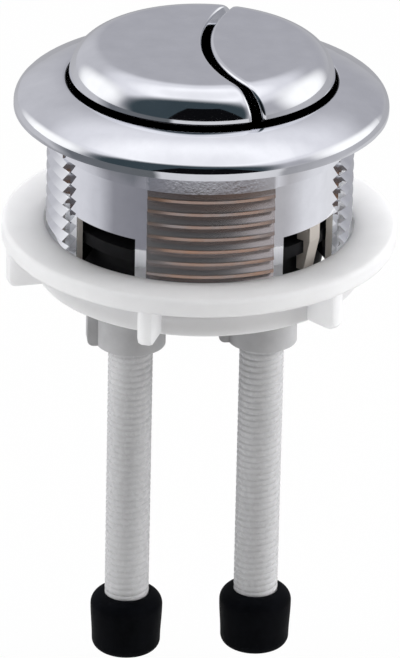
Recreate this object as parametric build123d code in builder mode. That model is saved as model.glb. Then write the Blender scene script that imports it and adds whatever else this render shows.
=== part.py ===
from build123d import *
import math
import os

# Dual flush push button for a cistern lid. A chrome bezel drops through the hole in the lid
# and is clamped from below by a lock nut on its interrupted thread. Two spring-loaded buttons
# share the bezel. Each one drives a plunger, a threaded rod and a rubber tip that presses on
# the flush valve.
# Frame: millimetres, +Z up. The origin is on the bezel's axis in the plane of the face that
# sits on the lid. The rods lie along X, full flush at -X and half flush at +X.

# Bezel sleeve, sized for the usual 58 mm hole in a cistern lid, and its interrupted thread
thread_crest_radius = 28.75
thread_depth = 1.45
thread_pitch = 2.5
panel_step = 0.15
sleeve_wall = 1.4
neck_inset = 0.35
neck_length = 5.5
land_top_depth = 1.3
sleeve_length = 30.5
sleeve_turn = -1.5
front_segment_angle = 51.0
side_segment_angle = 43.0
window_top_depth = 16.6
window_height = 9.9
window_front_margin = 4.8
window_angle = 31.0
lip_depth = 22.2
lip_height = 1.8
lip_width = 2.1

# Bezel flange
flange_overhang = 6.25
flange_rim_foot = 0.7
flange_rim_round = 2.6
flange_rim_turn = 60.0
flange_inner_height = 5.7
flange_inner_break = 0.45
seat_ring_width = 2.2
neck_root_width = 1.6
underside_recess_depth = 2.0

# Buttons
button_gap = 0.95
button_stand = 6.6
button_round = 6.2
button_skirt_depth = 1.5
button_wall = 1.8
split_offset = 0.47
split_radius = 36.45
split_turn = -2.0
split_gap = 1.9
split_edge_round = 0.8
press_travel = 7.0

# Plungers and their guide
plunger_spacing = 25.0
stem_wall = 1.2
running_clearance = 0.08
spigot_radius = 4.4
spigot_length = 12.0
spigot_clearance = 0.05
socket_wall = 1.5
socket_drop = 1.7
collar_step = 1.1
collar_length = 12.2
ear_reach = 1.8
ear_width = 3.2
ear_round = 1.2
stop_gap = 0.1
guide_plate_thickness = 2.4
guide_plate_clearance = 0.3
guide_skirt_wall = 1.5
guide_skirt_drop = 7.4
bush_wall = 1.3
bush_drop = 13.8
bush_headroom = 2.8
snap_arm_angle = 47.0
snap_arm_width = 3.1
snap_arm_thickness = 1.6
snap_arm_drop = 3.6
snap_nose_reach = 1.3
snap_nose_height = 3.0
snap_nose_clearance = 0.2

# Springs
spring_wire = 0.9
spring_clearance = 0.25
spring_seat_gap = 0.1
spring_flange_width = 0.45
spring_flange_thickness = 1.2
spring_turns = 6
spring_dead_turns = 0.75
spring_steps_per_turn = 14
spring_wire_sides = 6

# Rods and rubber tips
rod_radius = 4.25
rod_thread_clearance = 0.05
rod_engagement = 24.0
rod_relief = 8.0
rod_exposed_length = 53.2
rod_chamfer = 0.8
tip_height = 11.9
tip_wall = 2.65
tip_taper = 0.3
tip_shoulder_round = 2.6
tip_foot_round = 2.0
tip_floor = 3.0

# Lock nut
nut_engagement = 7.5
nut_flange_width = 6.65
nut_flange_thickness = 3.6
nut_height = 10.4
nut_hub_wall = 1.35
nut_thread_clearance = 0.35
nut_edge_round = 0.9
fin_count = 6
fin_thickness = 3.0
fin_start_angle = 248.5
fin_inset = 0.2
fin_round = 1.6

# Radii worked out from the sleeve
thread_root_radius = thread_crest_radius - thread_depth
thread_middle_radius = thread_crest_radius - thread_depth / 2
panel_radius = thread_root_radius - panel_step
bore_radius = panel_radius - sleeve_wall
neck_radius = thread_crest_radius - neck_inset
flange_radius = thread_crest_radius + flange_overhang
recess_inner_radius = neck_radius + neck_root_width
recess_outer_radius = flange_radius - seat_ring_width
lip_radius = bore_radius - lip_width
button_radius = bore_radius - button_gap
button_inner_radius = button_radius - button_wall
plate_radius = bore_radius - guide_plate_clearance
guide_skirt_radius = lip_radius - guide_plate_clearance
guide_skirt_inner_radius = guide_skirt_radius - guide_skirt_wall
socket_bore_radius = spigot_radius + spigot_clearance
socket_radius = socket_bore_radius + socket_wall
rod_bore_radius = rod_radius + rod_thread_clearance
stem_radius = rod_bore_radius + stem_wall
collar_radius = stem_radius + collar_step
bush_bore_radius = stem_radius + running_clearance
bush_radius = bush_bore_radius + bush_wall
coil_radius = bush_radius + spring_clearance + spring_wire / 2
spring_flange_radius = coil_radius + spring_wire / 2 + spring_flange_width
tip_radius = rod_bore_radius + tip_wall
tip_foot_radius = tip_radius - tip_taper
nut_bore_radius = thread_crest_radius + nut_thread_clearance
nut_hub_radius = nut_bore_radius + nut_hub_wall
nut_flange_radius = nut_hub_radius + nut_flange_width
fin_outer_radius = nut_flange_radius - fin_inset

# Heights worked out from the lid seat at zero
button_top = flange_inner_height + button_stand
button_underside = button_top - button_wall
button_bottom = -button_skirt_depth
cap_depth = button_top - button_bottom
socket_bottom = button_bottom - socket_drop
socket_length = button_underside - socket_bottom
plate_top = guide_plate_thickness - lip_depth
bush_top = socket_bottom - press_travel - bush_headroom
bush_bottom = -lip_depth - bush_drop
collar_top = bush_bottom - stop_gap
collar_bottom = collar_top - collar_length
rod_top = collar_bottom + rod_engagement
tip_top = collar_bottom - rod_exposed_length
tip_bottom = tip_top - tip_height
rod_bottom = tip_bottom + tip_floor
nut_top = nut_engagement - sleeve_length
nut_flange_bottom = nut_top - nut_flange_thickness
nut_bottom = nut_top - nut_height

# Places round the axis
split_distance = split_offset + split_radius
split_center = (
    split_distance * math.cos(math.radians(split_turn)),
    split_distance * math.sin(math.radians(split_turn)),
)
plunger_axes = {"full_flush": -plunger_spacing / 2, "half_flush": plunger_spacing / 2}
window_offset = front_segment_angle / 2 + window_front_margin + window_angle / 2
window_centers = [
    sleeve_turn + middle + side * window_offset for middle in (90, 270) for side in (-1, 1)
]

os.makedirs("parts", exist_ok=True)


def half_plane(angle):
    """Plane through the Z axis whose local X points outward at this angle and local Y is up."""
    turn = math.radians(angle)
    return Plane(
        origin=(0, 0, 0),
        x_dir=(math.cos(turn), math.sin(turn), 0),
        z_dir=(math.sin(turn), -math.cos(turn), 0),
    )


def thread_outline(shift):
    """Corner points of one threaded segment's section, its ridges moved down by shift."""
    segment_inner_radius = bore_radius + sleeve_wall / 2
    points = [(segment_inner_radius, -neck_length)]
    if shift > 0:
        points.append((thread_root_radius, -neck_length))
    ridge_top = -neck_length - shift
    while ridge_top - thread_pitch > -sleeve_length:
        points.append((thread_root_radius, ridge_top))
        points.append((thread_crest_radius, ridge_top - thread_pitch / 2))
        ridge_top -= thread_pitch
    points.append((thread_root_radius, ridge_top))
    points.append((thread_root_radius, -sleeve_length))
    points.append((segment_inner_radius, -sleeve_length))
    return points


# Bezel: domed flange and sleeve in one moulding
with BuildPart() as bezel:
    with BuildSketch(Plane.XZ):
        with BuildLine():
            foot = Line((flange_radius, 0), (flange_radius, flange_rim_foot))
            rim = JernArc(foot @ 1, (0, 1), flange_rim_round, flange_rim_turn)
            inner_edge = (bore_radius + flange_inner_break, flange_inner_height)
            dome = TangentArc(rim @ 1, inner_edge, tangent=rim % 1)
            Polyline(
                inner_edge,
                (bore_radius, flange_inner_height - flange_inner_break),
                (bore_radius, -lip_depth),
                (lip_radius, -lip_depth),
                (lip_radius, -lip_depth - lip_height),
                (bore_radius, -lip_depth - lip_height - lip_width),
                (bore_radius, -sleeve_length),
                (panel_radius, -sleeve_length),
                (panel_radius, -neck_length),
                (neck_radius, -neck_length),
                (neck_radius, 0),
                (recess_inner_radius, 0),
                (recess_inner_radius, underside_recess_depth),
                (recess_outer_radius, underside_recess_depth),
                (recess_outer_radius, 0),
                (flange_radius, 0),
            )
        make_face()
    revolve(axis=Axis.Z)
    # Four threaded segments below plain lands. Clockwise from the front, each one's ridges are
    # a quarter pitch lower, as on a right-handed thread.
    segment_angles = [front_segment_angle, side_segment_angle] * 2
    for index, segment_angle in enumerate(segment_angles):
        middle = 270 + sleeve_turn - 90 * index
        with BuildSketch(half_plane(middle - segment_angle / 2)):
            with BuildLine():
                Polyline(*thread_outline(index * thread_pitch / 4), close=True)
            make_face()
        revolve(axis=Axis.Z, revolution_arc=segment_angle)
        with BuildSketch(half_plane(middle - segment_angle / 2)):
            with Locations((thread_middle_radius, -(land_top_depth + neck_length) / 2)):
                Rectangle(thread_depth, neck_length - land_top_depth)
        revolve(axis=Axis.Z, revolution_arc=segment_angle)
    # One window in each plain panel between the segments, cut from inside the lip to outside
    window_inner_radius = lip_radius - lip_width
    window_middle = (window_inner_radius + thread_crest_radius) / 2
    for center in window_centers:
        with BuildSketch(half_plane(center - window_angle / 2)):
            with Locations((window_middle, -window_top_depth - window_height / 2)):
                Rectangle(thread_crest_radius - window_inner_radius, window_height)
        revolve(axis=Axis.Z, revolution_arc=window_angle, mode=Mode.SUBTRACT)
bezel.part.label = "bezel"
export_step(bezel.part, "parts/bezel.step")


def cap_section(radius, top, edge_round, bottom):
    """Half section of a round cap with a flat top and a rounded edge."""
    with BuildSketch(Plane.XZ) as section:
        with BuildLine():
            Polyline((0, top), (0, bottom), (radius, bottom), (radius, top - edge_round))
            edge = JernArc((radius, top - edge_round), (0, 1), edge_round, 90)
            Line(edge @ 1, (0, top))
        make_face()
    return section.sketch


def split_disc(radius):
    """Disc centred on the split's arc, in the plane below the buttons."""
    with BuildSketch(Plane.XY.offset(button_bottom)) as disc:
        with Locations(split_center):
            Circle(radius)
    return disc.sketch


# Buttons: two halves of one rounded cap, parted along an arc, each with a flanged socket below
split_modes = {"full_flush": Mode.SUBTRACT, "half_flush": Mode.INTERSECT}
split_sides = {"full_flush": 1, "half_flush": -1}
for name, axis_x in plunger_axes.items():
    face_radius = split_radius + split_sides[name] * split_gap / 2
    cavity_radius = face_radius + split_sides[name] * button_wall
    with BuildPart() as cavity:
        revolve(
            cap_section(
                button_inner_radius, button_underside, button_round - button_wall, button_bottom
            ),
            axis=Axis.Z,
        )
        extrude(split_disc(cavity_radius), amount=cap_depth, mode=split_modes[name])
    with BuildPart() as button:
        revolve(
            cap_section(button_radius, button_top, button_round, button_bottom),
            axis=Axis.Z,
        )
        extrude(split_disc(face_radius), amount=cap_depth, mode=split_modes[name])
        split_face = button.faces().sort_by_distance((split_offset, 0, button_top - button_round))[0]
        rounded_edges = split_face.edges().filter_by(
            lambda edge: edge.center().Z > button_bottom + split_edge_round
        )
        fillet(rounded_edges, split_edge_round)
        add(cavity.part, mode=Mode.SUBTRACT)
        with BuildSketch(Plane.XY.offset(socket_bottom)):
            with Locations((axis_x, 0)):
                Circle(spring_flange_radius)
        extrude(amount=spring_flange_thickness)
        with BuildSketch(Plane.XY.offset(socket_bottom)):
            with Locations((axis_x, 0)):
                Circle(socket_radius)
        extrude(amount=socket_length)
        with BuildSketch(Plane.XY.offset(socket_bottom)):
            with Locations((axis_x, 0)):
                Circle(socket_bore_radius)
        extrude(amount=socket_length, mode=Mode.SUBTRACT)
    button.part.label = f"{name}_button"
    export_step(button.part, f"parts/{name}_button.step")

# Guide plate: rests on the sleeve's lip, hangs a skirt inside it and snaps into two windows
snap_top = -window_top_depth - snap_nose_clearance
snap_bottom = -lip_depth - snap_arm_drop
with BuildPart() as guide_plate:
    with BuildSketch(Plane.XY.offset(-lip_depth)):
        Circle(plate_radius)
    extrude(amount=guide_plate_thickness)
    with BuildSketch(Plane.XY.offset(-lip_depth - guide_skirt_drop)):
        Circle(guide_skirt_radius)
        Circle(guide_skirt_inner_radius, mode=Mode.SUBTRACT)
    extrude(amount=guide_skirt_drop)
    with BuildSketch(Plane.XY.offset(bush_bottom)):
        with Locations(*[(x, 0) for x in plunger_axes.values()]):
            Circle(bush_radius)
    extrude(amount=bush_top - bush_bottom)
    with BuildSketch(Plane.XY.offset(bush_bottom)):
        with Locations(*[(x, 0) for x in plunger_axes.values()]):
            Circle(bush_bore_radius)
    extrude(amount=bush_top - bush_bottom, mode=Mode.SUBTRACT)
    for arm_angle in (270 + snap_arm_angle, 90 + snap_arm_angle):
        with BuildSketch(half_plane(arm_angle)):
            with BuildLine():
                Polyline(
                    (plate_radius - snap_arm_thickness, snap_bottom),
                    (plate_radius, snap_bottom),
                    (plate_radius + snap_nose_reach, snap_top - snap_nose_height),
                    (plate_radius + snap_nose_reach, snap_top),
                    (plate_radius - snap_arm_thickness, snap_top),
                    close=True,
                )
            make_face()
        extrude(amount=snap_arm_width / 2, both=True)
guide_plate.part.label = "guide_plate"
export_step(guide_plate.part, "parts/guide_plate.step")

# Plungers: a stem in the guide's bush, a spigot in the button's socket, and an eared collar
for name, axis_x in plunger_axes.items():
    with BuildPart() as plunger:
        with BuildSketch(Plane.XY.offset(collar_bottom)):
            with Locations((axis_x, 0)):
                Circle(collar_radius)
        extrude(amount=collar_top - collar_bottom)
        with BuildSketch(Plane.XY.offset(collar_bottom)):
            with Locations((axis_x - (collar_radius + ear_reach) / 2, 0)):
                Rectangle(collar_radius + ear_reach, ear_width)
        extrude(amount=collar_top - collar_bottom)
        ear_feet = plunger.edges().filter_by(Axis.Y).filter_by(
            lambda edge: abs(edge.center().Z - collar_bottom) < ear_round
        )
        fillet(ear_feet, ear_round)
        with BuildSketch(Plane.XY.offset(collar_top)):
            with Locations((axis_x, 0)):
                Circle(stem_radius)
        extrude(amount=socket_bottom - collar_top)
        with BuildSketch(Plane.XY.offset(socket_bottom)):
            with Locations((axis_x, 0)):
                Circle(spigot_radius)
        extrude(amount=spigot_length)
        with BuildSketch(Plane.XY.offset(collar_bottom)):
            with Locations((axis_x, 0)):
                Circle(rod_bore_radius)
        extrude(amount=rod_engagement + rod_relief, mode=Mode.SUBTRACT)
    plunger.part.label = f"{name}_plunger"
    export_step(plunger.part, f"parts/{name}_plunger.step")

# Springs: round the guide's bushes, from its plate up to the flange on the button's socket
coil_start = plate_top + spring_seat_gap + spring_wire / 2
coil_rise = socket_bottom - spring_seat_gap - spring_wire / 2 - coil_start
active_turns = spring_turns - 2 * spring_dead_turns
coil_steps = spring_turns * spring_steps_per_turn
for name, axis_x in plunger_axes.items():
    coil_points = []
    for step in range(coil_steps + 1):
        turn = step / spring_steps_per_turn
        share = (turn - spring_dead_turns) / active_turns
        height = coil_start + coil_rise * min(max(share, 0), 1)
        angle = 2 * math.pi * turn
        x = axis_x + coil_radius * math.cos(angle)
        coil_points.append((x, coil_radius * math.sin(angle), height))
    with BuildPart() as spring:
        with BuildLine() as coil:
            Polyline(*coil_points)
        with BuildSketch(Plane(origin=coil.line @ 0, z_dir=coil.line % 0)):
            RegularPolygon(spring_wire / 2, spring_wire_sides)
        sweep(path=coil.line, transition=Transition.RIGHT)
    spring.part.label = f"{name}_spring"
    export_step(spring.part, f"parts/{name}_spring.step")

# Rods: screwed into the plungers from below
for name, axis_x in plunger_axes.items():
    with BuildPart() as rod:
        with BuildSketch(Plane.XY.offset(rod_bottom)):
            with Locations((axis_x, 0)):
                Circle(rod_radius)
        extrude(amount=rod_top - rod_bottom)
        chamfer(rod.edges().filter_by(GeomType.CIRCLE), rod_chamfer)
    rod.part.label = f"{name}_rod"
    export_step(rod.part, f"parts/{name}_rod.step")

# Rubber tips: pushed over the lower ends of the rods
shoulder_radius = tip_radius - tip_shoulder_round
for name, axis_x in plunger_axes.items():
    with BuildPart() as tip:
        with BuildSketch(Plane.XZ.move(Location((axis_x, 0, 0)))):
            with BuildLine():
                shoulder = JernArc(
                    (shoulder_radius, tip_top), (1, 0), tip_shoulder_round, -90
                )
                foot_start = (tip_foot_radius, tip_bottom + tip_foot_round)
                Line(shoulder @ 1, foot_start)
                foot = JernArc(foot_start, (0, -1), tip_foot_round, -90)
                Polyline(
                    foot @ 1,
                    (0, tip_bottom),
                    (0, rod_bottom),
                    (rod_bore_radius, rod_bottom),
                    (rod_bore_radius, tip_top),
                    (shoulder_radius, tip_top),
                )
            make_face()
        revolve(axis=Axis((axis_x, 0, 0), (0, 0, 1)))
    tip.part.label = f"{name}_tip"
    export_step(tip.part, f"parts/{name}_tip.step")

# Lock nut: flange, hub and radial fins in one moulding
with BuildPart() as lock_nut:
    with BuildSketch(Plane.XZ):
        with BuildLine():
            Polyline(
                (nut_bore_radius, nut_top),
                (nut_flange_radius, nut_top),
                (nut_flange_radius, nut_flange_bottom),
                (nut_hub_radius, nut_flange_bottom),
                (nut_hub_radius, nut_bottom),
                (nut_bore_radius, nut_bottom),
                close=True,
            )
        make_face()
    revolve(axis=Axis.Z)
    rim_edges = lock_nut.edges().filter_by(GeomType.CIRCLE).filter_by(
        lambda edge: edge.radius > nut_hub_radius + nut_edge_round
    )
    fillet(rim_edges, nut_edge_round)
    fin_length = fin_outer_radius - nut_hub_radius + nut_hub_wall / 2
    with BuildSketch(Plane.XY.offset(nut_bottom)):
        with PolarLocations(fin_outer_radius - fin_length / 2, fin_count, start_angle=fin_start_angle):
            Rectangle(fin_length, fin_thickness)
    extrude(amount=nut_flange_bottom - nut_bottom)
    fin_feet = lock_nut.edges().filter_by(GeomType.LINE).filter_by(
        lambda edge: abs(edge.center().Z - nut_bottom) < fin_round
        and math.hypot(edge.center().X, edge.center().Y) > fin_outer_radius - fin_round
        and abs(edge.length - fin_thickness) < fin_thickness / 10
    )
    fillet(fin_feet, fin_round)
lock_nut.part.label = "lock_nut"
export_step(lock_nut.part, "parts/lock_nut.step")
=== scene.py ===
import math

import bmesh
import bpy
from mathutils import Matrix, Vector


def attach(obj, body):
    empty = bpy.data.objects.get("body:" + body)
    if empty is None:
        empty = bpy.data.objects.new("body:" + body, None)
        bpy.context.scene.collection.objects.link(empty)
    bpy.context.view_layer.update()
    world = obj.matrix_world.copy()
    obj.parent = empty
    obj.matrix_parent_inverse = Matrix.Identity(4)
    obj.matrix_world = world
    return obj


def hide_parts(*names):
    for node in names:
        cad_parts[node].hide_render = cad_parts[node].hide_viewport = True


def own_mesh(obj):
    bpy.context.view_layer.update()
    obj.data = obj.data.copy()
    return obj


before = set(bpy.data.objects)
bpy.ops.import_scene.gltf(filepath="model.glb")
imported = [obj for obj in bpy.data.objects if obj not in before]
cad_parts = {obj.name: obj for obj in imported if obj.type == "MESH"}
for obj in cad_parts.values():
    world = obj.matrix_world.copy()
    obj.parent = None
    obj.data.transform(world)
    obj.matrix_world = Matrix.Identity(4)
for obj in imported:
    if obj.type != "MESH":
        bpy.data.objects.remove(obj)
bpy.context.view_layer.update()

# Lengths below are in millimetres, as in the CAD model, and become metres in each mesh.
MM = 0.001

# Bezel: flange, sleeve and interrupted thread
FLANGE_RADIUS = 35.0
RIM_FOOT = 0.7
RIM_ROUND = 2.6
RIM_TURN = 60.0
INNER_HEIGHT = 5.7
INNER_BREAK = 0.45
INNER_LIP = 0.45
INNER_LIP_HEIGHT = 2.0
SEAT_RING = 2.2
NECK_ROOT = 1.6
RECESS_DEPTH = 2.0
CREST_RADIUS = 28.75
THREAD_DEPTH = 1.45
THREAD_PITCH = 2.5
THREAD_STEPS = 12
# Ridges from root to root, going down: steps of the pitch and shares of the thread's depth
SIDE_RIDGE = [(0, 0.0), (6, 1.0), (12, 0.0)]
FRONT_RIDGE = [(0, 0.0), (8, 0.95), (10, 0.99), (11, 1.0), (12, 0.0)]
# Steps that the crests at the front and the back lie below the solid's
FRONT_THREAD_DROP = 3
PANEL_STEP = 0.15
SLEEVE_WALL = 1.4
NECK_INSET = 0.35
NECK_LENGTH = 5.5
LAND_TOP = 1.3
LAND_EDGE = 0.35
SLEEVE_LENGTH = 30.5
SLEEVE_TURN = -1.5
SIDE_SEGMENT = 46.0
FRONT_SEGMENT = 51.0
# Depth in Y beyond which a thread belongs to the front or the back
THREAD_FRONT = 20.0
WINDOW_TOP = 16.6
WINDOW_HEIGHT = 9.9
WINDOW_FRONT_MARGIN = 4.8
WINDOW_ANGLE = 31.0
LIP_DEPTH = 22.2
LIP_HEIGHT = 1.8
LIP_WIDTH = 2.1
ROOT_RADIUS = CREST_RADIUS - THREAD_DEPTH
PANEL_RADIUS = ROOT_RADIUS - PANEL_STEP
BORE_RADIUS = PANEL_RADIUS - SLEEVE_WALL
NECK_RADIUS = CREST_RADIUS - NECK_INSET

# Snap arms of the guide plate, on one line through the axis, and the level direction across it
ARM_ACROSS = (0.682, 0.731, 0.0)
ARM_HALF_WIDTH = 1.6
ARM_INNER_RADIUS = 23.9

# Buttons
BUTTON_GAP = 0.95
BUTTON_STAND = 6.6
BUTTON_ROUND = 6.2
BUTTON_WALL = 1.8
BUTTON_BOTTOM = -1.5
UNDERCUT = 0.8
UNDERCUT_TURN = 6.0
# Rings that round the edge over the undercut: inset and drop
UNDERCUT_EDGE = [(0.25, 0.2), (0.09, 0.1)]
SPLIT_OFFSET = 0.47
SPLIT_RADIUS = 36.45
SPLIT_TURN = -2.0
SPLIT_HALF_GAPS = {1: 0.65, -1: 0.95}
SPLIT_EDGE = 0.8
BUTTON_TOP = INNER_HEIGHT + BUTTON_STAND
BUTTON_RADIUS = BORE_RADIUS - BUTTON_GAP
SPLIT_CENTER = SPLIT_OFFSET + SPLIT_RADIUS
SOCKET_RADIUS = 5.95
SOCKET_BORE = 4.45
SOCKET_BOTTOM = -3.2
SOCKET_COLUMNS = 48
SPRING_FLANGE_RADIUS = 8.48
SPRING_FLANGE_THICKNESS = 1.2

# Plungers, springs, rods and tips
PLUNGER_REACH = {"full_flush": -12.5, "half_flush": 12.5}
PRESS_TRAVEL = 7.0
PLATE_TOP = -19.8
SPRING_GAP = 0.1
SPRING_WIRE = 0.9
COIL_RADIUS = 7.58
SPRING_TURNS = 6
SPRING_DEAD_TURNS = 0.75
ROD_RADIUS = 4.25
ROD_TOP = -24.3
ROD_BOTTOM = -110.4
ROD_CHAMFER = 0.8
ROD_PITCH = 1.27
ROD_THREAD_DEPTH = 0.24
ROD_SHARP_ANGLE = 60.0
TIP_TOP = -101.5
TIP_BOTTOM = -113.4
TIP_BORE = 4.3
TIP_SHOULDER = 4.35
TIP_SHOULDER_ROUND = 2.6
TIP_FOOT = 6.62
TIP_FOOT_ROUND = 1.9
TIP_BORE_BREAK = 0.2
TIP_COLUMNS = 72
AXIS_RADIUS = 0.01

# Lock nut
NUT_TOP = -23.0
NUT_FLANGE_THICKNESS = 3.6
NUT_HEIGHT = 10.4
NUT_BORE = 29.1
NUT_HUB = 30.45
NUT_FLANGE = 37.1
NUT_EDGE = 0.9
NUT_COLUMNS = 180
NUT_GROOVES = 3
NUT_GROOVE_START = 1.0
NUT_GROOVE_DEPTH = 0.45
# Section of a groove: shares of the pitch, and of the groove's depth
NUT_GROOVE = [(0.0, 0.0), (0.35, 1.0), (0.55, 1.0), (0.9, 0.0)]
FIN_COUNT = 6
FIN_THICKNESS = 3.0
FIN_START = 248.5
FIN_INSET = 0.2
FIN_ROUND = 1.6
FIN_ROOT = 0.6
FIN_EDGE = 0.8

# Looks: the part of a noise's range that is used, and the coats of the bezel
NOISE_RANGE = (0.3, 0.7)
NOISE_ROUGHNESS = 0.55
MASK_MARGIN = 0.05
CUT_MARGIN = 0.1
CREST_SHARE = 0.92
# Heights below which the bezel's bore and the buttons' undercut and insides are painted near-black
# as shade
BEZEL_SHADE_TOP = 5.2
BUTTON_SHADE_TOP = 6.6
# Warm grey painted on the front and back thread as its reflections
THREAD_REFLECTION_COLOUR = (0.44, 0.405, 0.40, 1.0)
THREAD_ROUGHNESS = 0.22
THREAD_METALLIC = 0.76
# Painted shade: near-black for the bore and for the buttons below their undercut
PAINTED_SHADE_COLOUR = (0.03, 0.03, 0.032, 1.0)
CUT_COLOUR = (0.88, 0.83, 0.77, 1.0)
CUT_ROUGHNESS = 0.45
ARM_COLOUR = (0.50, 0.46, 0.42, 1.0)
SHARP_ANGLE = 32.0


def skin(rings, loop=False, caps=False):
    """Vertices and faces of a skin over rings of points that all have the same count."""
    count = len(rings[0])
    vertices = [point for ring in rings for point in ring]
    faces = []
    for row in range(len(rings) if loop else len(rings) - 1):
        low = row * count
        high = (row + 1) % len(rings) * count
        for column in range(count):
            after = (column + 1) % count
            faces.append((low + column, low + after, high + after, high + column))
    if caps:
        last = (len(rings) - 1) * count
        faces.append(tuple(reversed(range(count))))
        faces.append(tuple(range(last, last + count)))
    return vertices, faces


def join(*shells):
    """One list of vertices and faces out of several."""
    vertices, faces = [], []
    for shell_vertices, shell_faces in shells:
        base = len(vertices)
        vertices += shell_vertices
        faces += [tuple(base + index for index in face) for face in shell_faces]
    return vertices, faces


def circle(radius, height, columns, center_x=0.0):
    """A level ring of points."""
    turns = [2 * math.pi * column / columns for column in range(columns)]
    return [(center_x + radius * math.cos(t), radius * math.sin(t), height) for t in turns]


def arc(center, radius, start, end, steps):
    """Points of an arc in a section or an outline, angles in degrees."""
    points = []
    for step in range(steps + 1):
        angle = math.radians(start + (end - start) * step / steps)
        points.append((center[0] + radius * math.cos(angle), center[1] + radius * math.sin(angle)))
    return points


def add_object(name, data):
    """An object in the scene's collection."""
    thing = bpy.data.objects.new(name, data)
    bpy.context.scene.collection.objects.link(thing)
    return thing


def make_piece(name, shell, material, body, replaced=(), sharp_angle=SHARP_ANGLE):
    """A mesh object in the row frame that rides on a body and stands for CAD nodes."""
    vertices, faces = shell
    mesh = bpy.data.meshes.new(name)
    mesh.from_pydata([Vector(point) * MM for point in vertices], [], faces)
    sheet = bmesh.new()
    sheet.from_mesh(mesh)
    bmesh.ops.recalc_face_normals(sheet, faces=sheet.faces)
    sheet.to_mesh(mesh)
    sheet.free()
    finish_mesh(mesh, sharp_angle)
    mesh.materials.append(material)
    piece = add_object(name, mesh)
    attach(piece, body)
    if replaced:
        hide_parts(*replaced)
    return piece


def finish_mesh(mesh, sharp_angle):
    """Smooth shading with sharp edges above an angle."""
    mesh.shade_smooth()
    mesh.set_sharp_from_angle(angle=math.radians(sharp_angle))


def new_material(name, **sockets):
    """A material with its shader; constant values go on the shader's own sockets."""
    material = bpy.data.materials.new(name)
    material.use_nodes = True
    shader = material.node_tree.nodes["Principled BSDF"]
    for socket, value in sockets.items():
        shader.inputs[socket.replace("_", " ")].default_value = value
    return material, material.node_tree.nodes, material.node_tree.links, shader


def noise(nodes, links, scale, detail=4.0, stretch=None):
    """Noise in the object's own coordinates; scale is in features per metre."""
    place = nodes.new("ShaderNodeTexCoord")
    texture = nodes.new("ShaderNodeTexNoise")
    texture.inputs["Scale"].default_value = scale
    texture.inputs["Detail"].default_value = detail
    texture.inputs["Roughness"].default_value = NOISE_ROUGHNESS
    if stretch is None:
        links.new(place.outputs["Object"], texture.inputs["Vector"])
    else:
        mapping = nodes.new("ShaderNodeMapping")
        mapping.inputs["Scale"].default_value = stretch
        links.new(place.outputs["Object"], mapping.inputs["Vector"])
        links.new(mapping.outputs["Vector"], texture.inputs["Vector"])
    return texture.outputs["Fac"]


def map_range(nodes, links, source, start, end, low, high, interpolation="LINEAR"):
    """A linked value taken from one range to another."""
    node = nodes.new("ShaderNodeMapRange")
    node.interpolation_type = interpolation
    limits = {"From Min": start, "From Max": end, "To Min": low, "To Max": high}
    for socket, value in limits.items():
        node.inputs[socket].default_value = value
    links.new(source, node.inputs["Value"])
    return node.outputs["Result"]


def colour_ramp(nodes, links, source, stops, interpolation="LINEAR"):
    """Colours along a linked value; a stop is a position and a colour."""
    node = nodes.new("ShaderNodeValToRGB")
    node.color_ramp.interpolation = interpolation
    elements = node.color_ramp.elements
    while len(elements) < len(stops):
        elements.new(0.5)
    for element, (position, colour) in zip(elements, stops):
        element.position = position
        element.color = (*colour, 1.0)
    links.new(source, node.inputs["Fac"])
    return node.outputs["Color"]


def calculate(nodes, links, operation, *operands):
    """Output of a math node; an operand is a number or a linked value."""
    node = nodes.new("ShaderNodeMath")
    node.operation = operation
    for socket, operand in zip(node.inputs, operands):
        if isinstance(operand, float):
            socket.default_value = operand
        else:
            links.new(operand, socket)
    return node.outputs[0]


def vary(nodes, links, source, socket, low, high):
    """Drives a shader socket from a texture, between two numbers."""
    links.new(map_range(nodes, links, source, *NOISE_RANGE, low, high), socket)


def two_tone(nodes, links, source, low, high):
    """A colour between two, by a texture."""
    return colour_ramp(nodes, links, source, list(zip(NOISE_RANGE, (low, high))))


def tint(nodes, links, source, socket, low, high):
    """Drives a shader colour from a texture, between two colours."""
    links.new(two_tone(nodes, links, source, low, high), socket)


def relief(nodes, links, source, shader, strength, depth):
    """Fine bumps; depth is in metres."""
    bump = nodes.new("ShaderNodeBump")
    bump.inputs["Strength"].default_value = strength
    bump.inputs["Distance"].default_value = depth
    links.new(source, bump.inputs["Height"])
    links.new(bump.outputs["Normal"], shader.inputs["Normal"])
    return bump


def object_place(nodes, links):
    """Radius from the axis, depth in Y to either side, and height, in the object's own frame."""
    place = nodes.new("ShaderNodeTexCoord")
    parts = nodes.new("ShaderNodeSeparateXYZ")
    links.new(place.outputs["Object"], parts.inputs[0])
    flat = nodes.new("ShaderNodeVectorMath")
    flat.operation = "MULTIPLY"
    flat.inputs[1].default_value = (1.0, 1.0, 0.0)
    links.new(place.outputs["Object"], flat.inputs[0])
    reach = nodes.new("ShaderNodeVectorMath")
    reach.operation = "LENGTH"
    links.new(flat.outputs[0], reach.inputs[0])
    side = calculate(nodes, links, "ABSOLUTE", parts.outputs["Y"])
    return reach.outputs["Value"], side, parts.outputs["Z"]


def mask(nodes, links, *tests):
    """1 where every test holds; a test is a value, LESS_THAN or GREATER_THAN, and millimetres."""
    result = None
    for value, operation, limit in tests:
        test = calculate(nodes, links, operation, value, limit * MM)
        result = test if result is None else calculate(nodes, links, "MULTIPLY", result, test)
    return result


def blend(nodes, links, amount, low, high, data_type="RGBA"):
    """Mixes a linked value with a constant or another linked one, by a mask."""
    mix = nodes.new("ShaderNodeMix")
    mix.data_type = data_type
    links.new(amount, mix.inputs["Factor"])
    links.new(low, mix.inputs["A"])
    if isinstance(high, bpy.types.NodeSocket):
        links.new(high, mix.inputs["B"])
    else:
        mix.inputs["B"].default_value = high
    return mix.outputs["Result"]


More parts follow.
